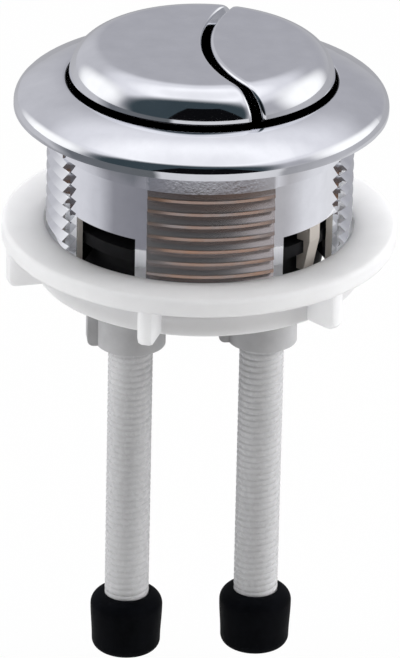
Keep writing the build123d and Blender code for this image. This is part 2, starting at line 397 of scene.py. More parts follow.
def chrome_material(name, shade_radius, shade_top):
    """Plated plastic: bright and faintly blue, with painted shade inside below a height, and a
    satin thread whose warm grey and copper-brown tones are painted reflections.
    """
    material, nodes, links, shader = new_material(name, Metallic=1.0)
    haze = noise(nodes, links, 260.0)
    plate = two_tone(nodes, links, haze, (0.76, 0.77, 0.80), (0.82, 0.83, 0.86))
    gloss = map_range(nodes, links, haze, 0.0, 1.0, 0.04, 0.09)

    # Places on the piece, by radius, depth and height
    radius, depth, height = object_place(nodes, links)
    at_front = (depth, "GREATER_THAN", THREAD_FRONT)
    below_neck = (height, "LESS_THAN", -NECK_LENGTH - MASK_MARGIN)
    # Painted shade: near-black inside the bore and below the buttons' undercut, where the gap lies
    # in shadow
    inside = mask(
        nodes, links, (radius, "LESS_THAN", shade_radius), (height, "LESS_THAN", shade_top),
    )
    thread = mask(
        nodes, links, (radius, "GREATER_THAN", ROOT_RADIUS - PANEL_STEP / 2), at_front, below_neck,
    )
    crest = mask(
        nodes, links, (radius, "GREATER_THAN", ROOT_RADIUS + CREST_SHARE * THREAD_DEPTH),
        at_front, below_neck,
    )
    cut = mask(
        nodes, links, (radius, "GREATER_THAN", BORE_RADIUS + CUT_MARGIN),
        (radius, "LESS_THAN", PANEL_RADIUS - CUT_MARGIN), (height, "LESS_THAN", -NECK_LENGTH),
    )
    land = mask(
        nodes, links, (radius, "GREATER_THAN", NECK_RADIUS + MASK_MARGIN), at_front,
        (height, "GREATER_THAN", -NECK_LENGTH), (height, "LESS_THAN", -LAND_TOP),
    )

    # Painted reflections on the front and back thread: warm grey between the crests, and crests
    # that go from grey to copper-brown
    crest_reflection = two_tone(
        nodes, links, noise(nodes, links, 110.0), (0.37, 0.35, 0.35), (0.47, 0.285, 0.195),
    )
    colour = blend(nodes, links, thread, plate, THREAD_REFLECTION_COLOUR)
    colour = blend(nodes, links, crest, colour, crest_reflection)
    colour = blend(nodes, links, inside, colour, PAINTED_SHADE_COLOUR)
    colour = blend(nodes, links, cut, colour, CUT_COLOUR)
    links.new(colour, shader.inputs["Base Color"])
    rough = blend(nodes, links, thread, gloss, THREAD_ROUGHNESS, "FLOAT")
    rough = blend(nodes, links, cut, rough, CUT_ROUGHNESS, "FLOAT")
    links.new(rough, shader.inputs["Roughness"])
    metal = calculate(nodes, links, "SUBTRACT", 1.0, cut)
    metal = blend(nodes, links, thread, metal, THREAD_METALLIC, "FLOAT")
    links.new(metal, shader.inputs["Metallic"])

    speckle = calculate(nodes, links, "MULTIPLY", land, noise(nodes, links, 1500.0, 3.0))
    wave = relief(nodes, links, noise(nodes, links, 420.0, 2.0), shader, 0.05, 0.00002)
    grain = relief(nodes, links, speckle, shader, 0.18, 0.00008)
    links.new(wave.outputs["Normal"], grain.inputs["Normal"])
    return material


def nut_material():
    """Translucent white polypropylene."""
    material, nodes, links, shader = new_material(
        "white_polypropylene", Subsurface_Weight=0.8, Subsurface_Scale=0.012,
        Subsurface_Radius=(1.0, 1.0, 1.0), IOR=1.49,
    )
    flow = noise(nodes, links, 90.0, 3.0)
    tint(nodes, links, flow, shader.inputs["Base Color"], (0.86, 0.86, 0.88), (0.91, 0.91, 0.93))
    vary(nodes, links, noise(nodes, links, 700.0), shader.inputs["Roughness"], 0.34, 0.46)
    relief(nodes, links, noise(nodes, links, 1500.0, 3.0), shader, 0.12, 0.00004)
    return material


def nylon_material():
    """White nylon of the threaded rods."""
    material, nodes, links, shader = new_material(
        "white_nylon", Subsurface_Weight=0.2, Subsurface_Scale=0.002,
        Subsurface_Radius=(1.0, 1.0, 1.0), IOR=1.53,
    )
    flow = noise(nodes, links, 120.0, 3.0, stretch=(1.0, 1.0, 0.25))
    tint(nodes, links, flow, shader.inputs["Base Color"], (0.55, 0.55, 0.56), (0.61, 0.61, 0.62))
    vary(nodes, links, noise(nodes, links, 900.0), shader.inputs["Roughness"], 0.22, 0.32)
    return material


def grey_material(name, low, high, specular=0.5):
    """Satin moulded plastic."""
    material, nodes, links, shader = new_material(name, IOR=1.5, Specular_IOR_Level=specular)
    tint(nodes, links, noise(nodes, links, 300.0), shader.inputs["Base Color"], low, high)
    vary(nodes, links, noise(nodes, links, 800.0), shader.inputs["Roughness"], 0.40, 0.55)
    relief(nodes, links, noise(nodes, links, 2200.0, 2.0), shader, 0.15, 0.00004)
    return material


def guide_material():
    """Moulded plastic painted near-black as the shade inside the sleeve, with pale snap arms where
    they stand in the windows.
    """
    # Near-black painted as the shade that fills the windows
    material = grey_material("painted_shade_abs", (0.005, 0.005, 0.006), (0.009, 0.009, 0.010), 0.15)
    nodes, links = material.node_tree.nodes, material.node_tree.links
    radius = object_place(nodes, links)[0]
    place = nodes.new("ShaderNodeTexCoord")
    across = nodes.new("ShaderNodeVectorMath")
    across.operation = "DOT_PRODUCT"
    across.inputs[1].default_value = ARM_ACROSS
    links.new(place.outputs["Object"], across.inputs[0])
    side = calculate(nodes, links, "ABSOLUTE", across.outputs["Value"])
    arms = mask(
        nodes, links, (radius, "GREATER_THAN", ARM_INNER_RADIUS),
        (side, "LESS_THAN", ARM_HALF_WIDTH),
    )
    base = nodes["Principled BSDF"].inputs["Base Color"]
    links.new(blend(nodes, links, arms, base.links[0].from_socket, ARM_COLOUR), base)
    return material


def rubber_material():
    """Black rubber with a faint bloom."""
    material, nodes, links, shader = new_material("black_rubber", IOR=1.45, Specular_IOR_Level=0.04)
    bloom = noise(nodes, links, 350.0, 5.0)
    tint(
        nodes, links, bloom, shader.inputs["Base Color"],
        (0.0015, 0.0018, 0.0026), (0.0040, 0.0045, 0.0060),
    )
    vary(nodes, links, bloom, shader.inputs["Roughness"], 0.5, 0.68)
    relief(nodes, links, noise(nodes, links, 2600.0, 3.0), shader, 0.2, 0.00005)
    return material


def steel_material():
    """Drawn spring wire."""
    material, nodes, links, shader = new_material("spring_steel", Metallic=1.0)
    drawn = noise(nodes, links, 1800.0)
    tint(nodes, links, drawn, shader.inputs["Base Color"], (0.50, 0.50, 0.51), (0.62, 0.62, 0.63))
    vary(nodes, links, drawn, shader.inputs["Roughness"], 0.22, 0.34)
    return material


bezel_chrome = chrome_material("chrome_plate", BORE_RADIUS + MASK_MARGIN, BEZEL_SHADE_TOP)
button_chrome = chrome_material("button_chrome", BORE_RADIUS, BUTTON_SHADE_TOP)
white_plastic = nut_material()
nylon = nylon_material()
grey_plastic = grey_material("grey_abs", (0.44, 0.44, 0.45), (0.51, 0.51, 0.52))
painted_shade_plastic = guide_material()
rubber = rubber_material()
steel = steel_material()


def bezel_stations():
    """Angles round the sleeve, each with its segment number, or None on a plain panel."""
    edge = 0.12
    segment_step = 2.3
    window_step = 3.0
    widths = [SIDE_SEGMENT, FRONT_SEGMENT, SIDE_SEGMENT, FRONT_SEGMENT]
    panel = (360.0 - sum(widths)) / 4
    stations = []
    windows = []
    for index, width in enumerate(widths):
        start = SLEEVE_TURN + 90.0 * index - width / 2
        steps = math.ceil(width / segment_step)
        stations += [(start + width * step / steps, index) for step in range(steps + 1)]
        panel_start = start + width
        stations.append((panel_start + edge, None))
        steps = math.ceil(WINDOW_ANGLE / window_step)
        windows.append((len(stations), len(stations) + steps))
        after_front = index % 2 == 1
        margin = WINDOW_FRONT_MARGIN if after_front else panel - WINDOW_ANGLE - WINDOW_FRONT_MARGIN
        for step in range(steps + 1):
            stations.append((panel_start + margin + WINDOW_ANGLE * step / steps, None))
        stations.append((panel_start + panel - edge, None))
    return stations, windows


def thread_radius(step, segment):
    """Outer radius of a threaded segment, so many steps below the neck."""
    ridge = FRONT_RIDGE if segment % 2 else SIDE_RIDGE
    crest_step = ridge[-2][0]
    lead = (3 - segment) * THREAD_STEPS // 4
    drop = FRONT_THREAD_DROP if segment % 2 else 0
    phase = step - lead + crest_step - THREAD_STEPS // 2 - drop
    rows = round((SLEEVE_LENGTH - NECK_LENGTH) / THREAD_PITCH * THREAD_STEPS)
    ridges = (rows - 1 - lead) // THREAD_STEPS
    if phase < 0 or phase > ridges * THREAD_STEPS:
        return ROOT_RADIUS
    along = phase % THREAD_STEPS
    for (start, low), (end, high) in zip(ridge, ridge[1:]):
        if along <= end:
            share = low + (high - low) * (along - start) / (end - start)
            return ROOT_RADIUS + THREAD_DEPTH * share


def flange_section():
    """Section of the flange from the neck, round the rim and the dome, to the bore."""
    recess_inner = NECK_RADIUS + NECK_ROOT
    recess_outer = FLANGE_RADIUS - SEAT_RING
    underside = [
        (NECK_RADIUS, 0.0),
        (recess_inner, 0.0),
        (recess_inner, RECESS_DEPTH),
        (recess_outer, RECESS_DEPTH),
        (recess_outer, 0.0),
        (FLANGE_RADIUS, 0.0),
    ]
    rim_center = (FLANGE_RADIUS - RIM_ROUND, RIM_FOOT)
    rim = arc(rim_center, RIM_ROUND, 0.0, RIM_TURN, 18)
    # The dome leaves the rim along its tangent and ends at the inner edge
    start = Vector(rim[-1])
    end = Vector((BORE_RADIUS - INNER_LIP + INNER_BREAK, INNER_HEIGHT))
    back = math.radians(RIM_TURN + 180)
    inward = Vector((math.cos(back), math.sin(back)))
    chord = end - start
    radius = chord.length_squared / (2 * chord.dot(inward))
    center = start + inward * radius
    first = math.degrees(math.atan2(start.y - center.y, start.x - center.x))
    last = math.degrees(math.atan2(end.y - center.y, end.x - center.x))
    dome = arc(center, radius, first, last, 28)
    edge = arc((end.x, INNER_HEIGHT - INNER_BREAK), INNER_BREAK, 90.0, 180.0, 6)
    lip_foot = INNER_HEIGHT - INNER_LIP_HEIGHT
    lip = [(BORE_RADIUS - INNER_LIP, lip_foot), (BORE_RADIUS, lip_foot - INNER_LIP)]
    return underside + rim + dome[1:] + edge[1:] + lip


def bezel_shell():
    """The whole bezel as one closed skin, with its windows cut through."""
    stations, windows = bezel_stations()
    window_bottom = WINDOW_TOP + WINDOW_HEIGHT
    step_height = THREAD_PITCH / THREAD_STEPS
    step_count = round((SLEEVE_LENGTH - NECK_LENGTH) / step_height)
    depths = {NECK_LENGTH + step_height * step: step for step in range(step_count + 1)}
    for depth in (WINDOW_TOP, window_bottom):
        depths.setdefault(depth, (depth - NECK_LENGTH) / step_height)
    rows = []
    for depth in sorted(depths, reverse=True):
        radii = []
        for angle, segment in stations:
            radii.append(PANEL_RADIUS if segment is None else thread_radius(depths[depth], segment))
        rows.append((-depth, radii))
    outer_count = len(rows)
    land_steps = 5
    land = [NECK_RADIUS if segment is None else CREST_RADIUS for angle, segment in stations]
    rows += [(-NECK_LENGTH, land), (-LAND_TOP - LAND_EDGE - MASK_MARGIN, land)]
    for step in range(land_steps + 1):
        turn = math.pi / 2 * step / land_steps
        inset = LAND_EDGE * (1 - math.cos(turn))
        edge = [max(NECK_RADIUS, radius - inset) for radius in land]
        rows.append((-LAND_TOP - LAND_EDGE * (1 - math.sin(turn)), edge))
    sleeve_count = len(rows)
    rows += [(height, [radius] * len(stations)) for radius, height in flange_section()]
    inner_start = len(rows)
    inner = [
        (BORE_RADIUS, -WINDOW_TOP),
        (BORE_RADIUS, -LIP_DEPTH),
        (BORE_RADIUS - LIP_WIDTH, -LIP_DEPTH),
        (BORE_RADIUS - LIP_WIDTH, -LIP_DEPTH - LIP_HEIGHT),
        (BORE_RADIUS, -LIP_DEPTH - LIP_HEIGHT - LIP_WIDTH),
        (BORE_RADIUS, -window_bottom),
        (BORE_RADIUS, -SLEEVE_LENGTH),
    ]
    rows += [(height, [radius] * len(stations)) for radius, height in inner]
    count = len(stations)
    rings = []
    for row, (height, radii) in enumerate(rows):
        ring = []
        for column, ((angle, segment), radius) in enumerate(zip(stations, radii)):
            turn = math.radians(angle)
            beside = (stations[column - 1][1], stations[(column + 1) % count][1])
            if row < sleeve_count and segment in (1, 3) and None in beside:
                # Ridges at the front and the back end in planes along Y
                middle = math.radians(SLEEVE_TURN + 90.0 * segment)
                turn = middle + math.asin(math.sin(turn - middle) * ROOT_RADIUS / radius)
            ring.append((radius * math.cos(turn), radius * math.sin(turn), height))
        rings.append(ring)
    vertices, faces = skin(rings, loop=True)

    # Window openings: the outer and the inner faces go, and four walls join their edges
    heights = [height for height, radii in rows]
    outer_low = next(row for row in range(outer_count) if abs(heights[row] + window_bottom) < 1e-6)
    outer_high = next(row for row in range(outer_count) if abs(heights[row] + WINDOW_TOP) < 1e-6)
    inner_high = inner_start
    inner_low = inner_start + len(inner) - 2
    cut = set()
    walls = []
    for first, last in windows:
        for column in range(first, last):
            cut.update(row * count + column for row in range(outer_low, outer_high))
            cut.update(row * count + column for row in range(inner_high, inner_low))
            for outer_row, inner_row in ((outer_low, inner_low), (outer_high, inner_high)):
                walls.append((
                    outer_row * count + column,
                    outer_row * count + column + 1,
                    inner_row * count + column + 1,
                    inner_row * count + column,
                ))
        for column in (first, last):
            outer_chain = [row * count + column for row in range(outer_low, outer_high + 1)]
            inner_chain = [row * count + column for row in range(inner_high, inner_low + 1)]
            walls.append(tuple(outer_chain + inner_chain))
    kept = [face for index, face in enumerate(faces) if index not in cut]
    return vertices, kept + walls


def split_fillet(outer, split, side, edge):
    """Corner of a button's outline: fillet centre and its two tangent points, at +Y."""
    split_offset = split + side * edge
    inner = outer - edge
    x = (inner ** 2 - split_offset ** 2 + SPLIT_CENTER ** 2) / (2 * SPLIT_CENTER)
    center = Vector((x, math.sqrt(inner ** 2 - x ** 2)))
    on_outer = center * outer / inner
    pivot = Vector((SPLIT_CENTER, 0.0))
    on_split = pivot + (center - pivot) * split / split_offset
    return center, on_outer, on_split


def button_ring(outer, split, side, edge, height):
    """Outline of a button at one height. side is 1 left of the split and -1 right of it."""
    arc_steps, split_steps, corner_steps = 120, 72, 6
    center, on_outer, on_split = split_fillet(outer, split, side, edge)
    corner = math.degrees(math.atan2(on_outer.y, on_outer.x))
    far = 360.0 - corner if side > 0 else -corner
    outline = arc((0.0, 0.0), outer, corner, far, arc_steps)[1:-1]
    low_center = Vector((center.x, -center.y))

    def turn(point, pivot):
        return math.degrees(math.atan2(point.y - pivot.y, point.x - pivot.x))

    def corner_arc(pivot, start, end):
        first, last = turn(start, pivot), turn(end, pivot)
        swing = (last - first + 180.0) % 360.0 - 180.0
        return arc(pivot, edge, first, first + swing, corner_steps)

    low_outer = Vector((on_outer.x, -on_outer.y))
    low_split = Vector((on_split.x, -on_split.y))
    outline += corner_arc(low_center, low_outer, low_split)
    pivot = Vector((SPLIT_CENTER, 0.0))
    first = turn(low_split, pivot) % 360.0
    last = turn(on_split, pivot) % 360.0
    outline += arc(pivot, split, first, last, split_steps)[1:-1]
    outline += corner_arc(center, on_split, on_outer)
    spin = Matrix.Rotation(math.radians(SPLIT_TURN), 2)
    return [(*(spin @ Vector(point)), height) for point in outline]


def button_shell(side, axis_x):
    """A button: rounded cap outside, hollow inside, with a flanged socket for its plunger."""
    split = SPLIT_RADIUS + side * SPLIT_HALF_GAPS[side]
    round_steps = 30
    outside = []
    for step in range(round_steps + 1):
        angle = math.radians(UNDERCUT_TURN + (90.0 - UNDERCUT_TURN) * step / round_steps)
        outer = BUTTON_RADIUS - BUTTON_ROUND * (1 - math.cos(angle))
        height = BUTTON_TOP - BUTTON_ROUND * (1 - math.sin(angle))
        rise = max(0.0, height - BUTTON_TOP + SPLIT_EDGE)
        inset = SPLIT_EDGE - math.sqrt(max(0.0, SPLIT_EDGE ** 2 - rise ** 2))
        outside.append(button_ring(outer, split + side * inset, side, SPLIT_EDGE, height))
    neck = BUTTON_RADIUS - UNDERCUT
    undercut_top = BUTTON_TOP - BUTTON_ROUND * (1 - math.sin(math.radians(UNDERCUT_TURN)))
    below = [
        button_ring(neck, split, side, SPLIT_EDGE, BUTTON_BOTTOM),
        button_ring(neck, split, side, SPLIT_EDGE, undercut_top - UNDERCUT / 2),
    ]
    for inset, drop in UNDERCUT_EDGE:
        below.append(
            button_ring(BUTTON_RADIUS - inset, split, side, SPLIT_EDGE, undercut_top - drop)
        )
    inner_split = split + side * BUTTON_WALL
    inner_radius = BUTTON_RADIUS - BUTTON_WALL
    inner_round = BUTTON_ROUND - BUTTON_WALL
    inner_top = BUTTON_TOP - BUTTON_WALL
    inside = []
    inner_steps = 8
    for step in range(inner_steps + 1):
        angle = math.radians(90.0 * (1 - step / inner_steps))
        outer = inner_radius - inner_round * (1 - math.cos(angle))
        height = inner_top - inner_round * (1 - math.sin(angle))
        inside.append(button_ring(outer, inner_split, side, SPLIT_EDGE, height))
    inside.append(button_ring(inner_radius, inner_split, side, SPLIT_EDGE, BUTTON_BOTTOM))
    cap = skin(inside + below + outside, caps=True)
    flange_top = SOCKET_BOTTOM + SPRING_FLANGE_THICKNESS
    section = [
        (SOCKET_BORE, SOCKET_BOTTOM),
        (SPRING_FLANGE_RADIUS, SOCKET_BOTTOM),
        (SPRING_FLANGE_RADIUS, flange_top),
        (SOCKET_RADIUS, flange_top),
        (SOCKET_RADIUS, inner_top),
        (SOCKET_BORE, inner_top),
    ]
    socket = skin([circle(r, z, SOCKET_COLUMNS, axis_x) for r, z in section], loop=True)
    return join(cap, socket)


def rod_shell(axis_x):
    """A rod with a fine rounded thread that runs out at its chamfered ends."""
    columns, steps = 40, 10
    length = ROD_TOP - ROD_BOTTOM
    rows = round(length / ROD_PITCH * steps)
    rings = []
    for row in range(rows + 1):
        height = ROD_BOTTOM + length * row / rows
        end = min(height - ROD_BOTTOM, ROD_TOP - height)
        limit = ROD_RADIUS - max(0.0, ROD_CHAMFER - end)
        ring = []
        for column in range(columns):
            turn = column / columns
            phase = (height / ROD_PITCH - turn) % 1.0
            groove = ROD_THREAD_DEPTH * max(0.0, math.cos(2 * math.pi * phase)) ** 0.8
            radius = min(limit, ROD_RADIUS - groove)
            angle = 2 * math.pi * turn
            ring.append((axis_x + radius * math.cos(angle), radius * math.sin(angle), height))
        rings.append(ring)
    return skin(rings, caps=True)


def spring_shell(axis_x):
    """A compression spring with closed ends, between the guide plate and the button."""
    wire_sides, steps_per_turn = 12, 40
    start = PLATE_TOP + SPRING_GAP + SPRING_WIRE / 2
    rise = SOCKET_BOTTOM - SPRING_GAP - SPRING_WIRE / 2 - start
    steps = SPRING_TURNS * steps_per_turn
    rings = []
    for step in range(steps + 1):
        turn = step / steps_per_turn
        share = (turn - SPRING_DEAD_TURNS) / (SPRING_TURNS - 2 * SPRING_DEAD_TURNS)
        height = start + rise * min(max(share, 0.0), 1.0)
        angle = 2 * math.pi * turn
        ring = []
        for side in range(wire_sides):
            around = 2 * math.pi * side / wire_sides
            radius = COIL_RADIUS + SPRING_WIRE / 2 * math.cos(around)
            lift = SPRING_WIRE / 2 * math.sin(around)
            x, y = radius * math.cos(angle), radius * math.sin(angle)
            ring.append((axis_x + x, y, height + lift))
        rings.append(ring)
    return skin(rings, caps=True)


def tip_shell(axis_x):
    """A rubber tip: rounded shoulder, slight waist, rounded foot, and a bore for the rod."""
    shoulder_low = TIP_TOP - TIP_SHOULDER_ROUND
    foot_high = TIP_BOTTOM + TIP_FOOT_ROUND
    widest = TIP_SHOULDER + TIP_SHOULDER_ROUND
    shoulder = arc((TIP_SHOULDER, shoulder_low), TIP_SHOULDER_ROUND, 90.0, 0.0, 14)
    waist = []
    waist_steps = 8
    for step in range(1, waist_steps):
        share = step / waist_steps
        ease = share * share * (3 - 2 * share)
        height = shoulder_low + (foot_high - shoulder_low) * share
        waist.append((widest + (TIP_FOOT - widest) * ease, height))
    foot = arc((TIP_FOOT - TIP_FOOT_ROUND, foot_high), TIP_FOOT_ROUND, 0.0, -90.0, 12)
    bore = [
        (AXIS_RADIUS, TIP_BOTTOM),
        (AXIS_RADIUS, ROD_BOTTOM),
        (TIP_BORE, ROD_BOTTOM),
        (TIP_BORE, TIP_TOP - TIP_BORE_BREAK),
    ]
    section = shoulder + waist + foot + bore
    return skin([circle(r, z, TIP_COLUMNS, axis_x) for r, z in section], loop=True)


def nut_shell():
    """Flange and hub of the lock nut, without its fins."""
    bottom = NUT_TOP - NUT_HEIGHT
    flange_bottom = NUT_TOP - NUT_FLANGE_THICKNESS
    rim = NUT_FLANGE - NUT_EDGE
    inner_edge, foot_round, root_round = 0.12, 0.45, 0.8
    section = arc((rim, NUT_TOP - NUT_EDGE), NUT_EDGE, 90.0, 0.0, 8)
    section += arc((rim, flange_bottom + NUT_EDGE), NUT_EDGE, 0.0, -90.0, 8)
    section += arc((NUT_HUB + root_round, flange_bottom - root_round), root_round, 90.0, 180.0, 6)
    section += arc((NUT_HUB - foot_round, bottom + foot_round), foot_round, 0.0, -90.0, 5)
    section += [(NUT_BORE + inner_edge, bottom), (NUT_BORE, bottom + inner_edge)]
    for groove in range(NUT_GROOVES):
        low = bottom + NUT_GROOVE_START + groove * THREAD_PITCH
        for rise, depth in NUT_GROOVE:
            section.append((NUT_BORE + NUT_GROOVE_DEPTH * depth, low + THREAD_PITCH * rise))
    section += [(NUT_BORE, NUT_TOP - inner_edge), (NUT_BORE + inner_edge, NUT_TOP)]
    return skin([circle(r, z, NUT_COLUMNS) for r, z in section], loop=True)


def fin_shell(angle):
    """One fin under the nut's flange, with a rounded outer foot and rounded edges."""
    bottom = NUT_TOP - NUT_HEIGHT
    top = NUT_TOP - NUT_FLANGE_THICKNESS / 2
    inner = NUT_HUB - FIN_ROOT
    outer = NUT_FLANGE - FIN_INSET
    turn = math.radians(angle)
    along = Vector((math.cos(turn), math.sin(turn), 0.0))
    across = Vector((-math.sin(turn), math.cos(turn), 0.0))
    rings = []
    bevel = FIN_EDGE * 0.3
    for inset, width in ((FIN_EDGE, 0.0), (bevel, bevel), (0.0, FIN_EDGE)):
        outline = [(inner, top), (inner, bottom + inset)]
        foot = (outer - FIN_ROUND, bottom + FIN_ROUND)
        outline += arc(foot, FIN_ROUND - inset, -90.0, 0.0, 8)
        outline += [(outer - inset, top)]
        rings.append((outline, FIN_THICKNESS / 2 - width))
    order = [(outline, -half) for outline, half in rings]
    order += [(outline, half) for outline, half in reversed(rings)]
    loops = []
    for outline, offset in order:
        loops.append([tuple(along * r + across * offset + Vector((0, 0, z))) for r, z in outline])
    return skin(loops, caps=True)


# Bezel
make_piece("chrome_bezel", bezel_shell(), bezel_chrome, "housing", ["bezel"])

# Buttons, springs, rods and tips of the two flushes
for name, axis_x in PLUNGER_REACH.items():
    side = 1 if axis_x < 0 else -1
    make_piece(
        f"{name}_cap", button_shell(side, axis_x), button_chrome,
        name, [f"{name}_button"],
    )
    make_piece(
        f"{name}_threaded_rod", rod_shell(axis_x), nylon,
        name, [f"{name}_rod"], ROD_SHARP_ANGLE,
    )
    make_piece(
        f"{name}_rubber_tip", tip_shell(axis_x), rubber,
        name, [f"{name}_tip"],
    )
    coil = make_piece(
        f"{name}_coil", spring_shell(axis_x), steel,
        "housing", [f"{name}_spring"],
    )
    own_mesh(coil)

# Lock nut, its fins joined to the ring by a union
nut = make_piece(
    "finned_lock_nut", nut_shell(), white_plastic, "nut", ["lock_nut"],
)
fins = make_piece(
    "nut_fins",
    join(*[fin_shell(FIN_START + 360.0 / FIN_COUNT * index) for index in range(FIN_COUNT)]),
    white_plastic, "nut",
)
union = nut.modifiers.new("fins", "BOOLEAN")
union.operation = "UNION"
union.solver = "EXACT"
union.object = fins
bpy.context.view_layer.update()
joined = bpy.data.meshes.new_from_object(nut.evaluated_get(bpy.context.evaluated_depsgraph_get()))
nut.modifiers.remove(union)
nut.data = joined
bpy.data.objects.remove(fins)
finish_mesh(nut.data, SHARP_ANGLE)

# CAD nodes that stay
for node, material in (
    ("guide_plate", painted_shade_plastic),
    ("full_flush_plunger", grey_plastic),
    ("half_flush_plunger", grey_plastic),
):
    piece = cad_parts[node]
    piece.data.materials.clear()
    piece.data.materials.append(material)


# Camera, at the photograph's angle and frame of 400 by 658 pixels
CAMERA_TARGET = Vector((0.0, 0.0, -0.040))
CAMERA_DISTANCE = 1.2
CAMERA_AZIMUTH = math.radians(-6.4)
CAMERA_ELEVATION = math.radians(24.96)
CAMERA_ROLL = math.radians(1.25)
IMAGE_HEIGHT = 658
FOCAL_PIXELS = 6352.0
AIM_RIGHT_PIXELS = 2.7
AIM_DOWN_PIXELS = 29.1
SENSOR_HEIGHT = 36.0
CAMERA_REACH = 20.0


def add_camera():
    """The camera, aimed so that the part lies where it does in the photograph."""
    away = Vector((
        math.sin(CAMERA_AZIMUTH) * math.cos(CAMERA_ELEVATION),
        -math.cos(CAMERA_AZIMUTH) * math.cos(CAMERA_ELEVATION),
        math.sin(CAMERA_ELEVATION),
    ))
    eye = CAMERA_TARGET + away * CAMERA_DISTANCE
    roll = Matrix.Rotation(CAMERA_ROLL, 4, "Z")
    level = away.to_track_quat("Z", "Y").to_matrix().to_4x4() @ roll
    right, up = level.col[0].to_3d(), level.col[1].to_3d()
    pixel = CAMERA_DISTANCE / FOCAL_PIXELS
    aim = CAMERA_TARGET + (right * AIM_RIGHT_PIXELS - up * AIM_DOWN_PIXELS) * pixel
    turned = (eye - aim).to_track_quat("Z", "Y").to_matrix().to_4x4() @ roll
    data = bpy.data.cameras.new("camera")
    data.sensor_fit = "VERTICAL"
    data.sensor_height = SENSOR_HEIGHT
    data.lens = SENSOR_HEIGHT * FOCAL_PIXELS / IMAGE_HEIGHT
    data.clip_end = CAMERA_REACH
    camera = add_object("camera", data)
    camera.matrix_world = Matrix.Translation(eye) @ turned
    bpy.context.scene.camera = camera


add_camera()


def camera_rays(nodes):
    """1 for camera rays, and 0 for the rays that light the object or that it reflects."""
    return nodes.new("ShaderNodeLightPath").outputs["Is Camera Ray"]


FRONT_AMBIENT = 0.12
SIDE_AMBIENT = 0.50


def add_world():
    """White to the eye; the room lights the object from the sides more than from the front."""
    world = bpy.data.worlds.new("studio")
    world.use_nodes = True
    nodes, links = world.node_tree.nodes, world.node_tree.links
    nodes.clear()
    output = nodes.new("ShaderNodeOutputWorld")
    mix = nodes.new("ShaderNodeMixShader")
    ambient = nodes.new("ShaderNodeBackground")
    ambient.inputs["Color"].default_value = (1, 1, 1, 1)
    place = nodes.new("ShaderNodeTexCoord")
    parts = nodes.new("ShaderNodeSeparateXYZ")
    links.new(place.outputs["Generated"], parts.inputs[0])
    side = calculate(nodes, links, "ABSOLUTE", parts.outputs["X"])
    level = map_range(nodes, links, side, 0.0, 1.0, FRONT_AMBIENT, SIDE_AMBIENT)
    links.new(level, ambient.inputs["Strength"])
    white = nodes.new("ShaderNodeBackground")
    white.inputs["Color"].default_value = (1, 1, 1, 1)
    links.new(camera_rays(nodes), mix.inputs["Fac"])
    links.new(ambient.outputs[0], mix.inputs[1])
    links.new(white.outputs[0], mix.inputs[2])
    links.new(mix.outputs[0], output.inputs["Surface"])
    bpy.context.scene.world = world


add_world()


FLOOR_SIZE = 6.0
FLOOR_GREY = 0.74
FLOOR_WHITE_SHARE = 0.96
# The floor lies just below the tips of the pressed buttons
FLOOR_GAP = 0.3
FLOOR_HEIGHT = (TIP_BOTTOM - PRESS_TRAVEL - FLOOR_GAP) * MM


def floor_material():
    """White to the eye, with the object's shadow kept as a faint veil."""
    material, nodes, links, shader = new_material(
        "floor", Base_Color=(FLOOR_GREY, FLOOR_GREY, FLOOR_GREY, 1.0),
        Roughness=0.9, Specular_IOR_Level=0.1,
    )
    glow = nodes.new("ShaderNodeEmission")
    glow.inputs["Color"].default_value = (1, 1, 1, 1)
    share = calculate(nodes, links, "MULTIPLY", camera_rays(nodes), FLOOR_WHITE_SHARE)
    mix = nodes.new("ShaderNodeMixShader")
    links.new(share, mix.inputs["Fac"])
    links.new(shader.outputs[0], mix.inputs[1])
    links.new(glow.outputs[0], mix.inputs[2])
    links.new(mix.outputs[0], nodes["Material Output"].inputs["Surface"])
    return material


def add_floor():
    """A plain square floor."""
    half = FLOOR_SIZE / 2
    mesh = bpy.data.meshes.new("floor")
    corners = [(-half, -half, 0), (half, -half, 0), (half, half, 0), (-half, half, 0)]
    mesh.from_pydata(corners, [], [(0, 1, 2, 3)])
    mesh.materials.append(floor_material())
    plane = add_object("floor", mesh)
    plane.location = (0, 0, FLOOR_HEIGHT)


add_floor()


def emission_material(name):
    """A material with nothing but an emission, which the sampling of lights leaves out."""
    material = bpy.data.materials.new(name)
    material.use_nodes = True
    nodes, links = material.node_tree.nodes, material.node_tree.links
    nodes.clear()
    glow = nodes.new("ShaderNodeEmission")
    output = nodes.new("ShaderNodeOutputMaterial")
    links.new(glow.outputs[0], output.inputs["Surface"])
    material.cycles.emission_sampling = "NONE"
    return material, nodes, links, glow


def reflection_only(piece):
    """Keeps a stage piece out of every ray but those that a glossy surface reflects."""
    piece.visible_camera = False
    piece.visible_diffuse = False
    piece.visible_transmission = False
    piece.visible_volume_scatter = False
    piece.visible_shadow = False


TENT_RADIUS = 3.0
TENT_STRENGTH = 1.25
TENT_STOPS = [
    (0.0, (0.40, 0.40, 0.42)),
    (0.30, (0.36, 0.36, 0.39)),
    (0.50, (0.38, 0.38, 0.41)),
    (0.78, (0.70, 0.70, 0.74)),
    (0.92, (0.92, 0.92, 0.95)),
    (1.0, (0.80, 0.80, 0.83)),
]
# Spots on the tent: direction, inner and outer angle, and colour
TENT_SPOTS = [
    ((-0.42, 0.85, 0.30), 12.0, 28.0, (0.48, 0.48, 0.51)),
    ((-0.906, 0.348, 0.26), 10.0, 36.0, (1.0, 1.0, 1.0)),
    ((0.945, 0.14, 0.29), 12.0, 38.0, (1.0, 1.0, 1.0)),
    ((-0.30, -0.90, 0.27), 46.0, 64.0, (0.035, 0.05, 0.06)),
]


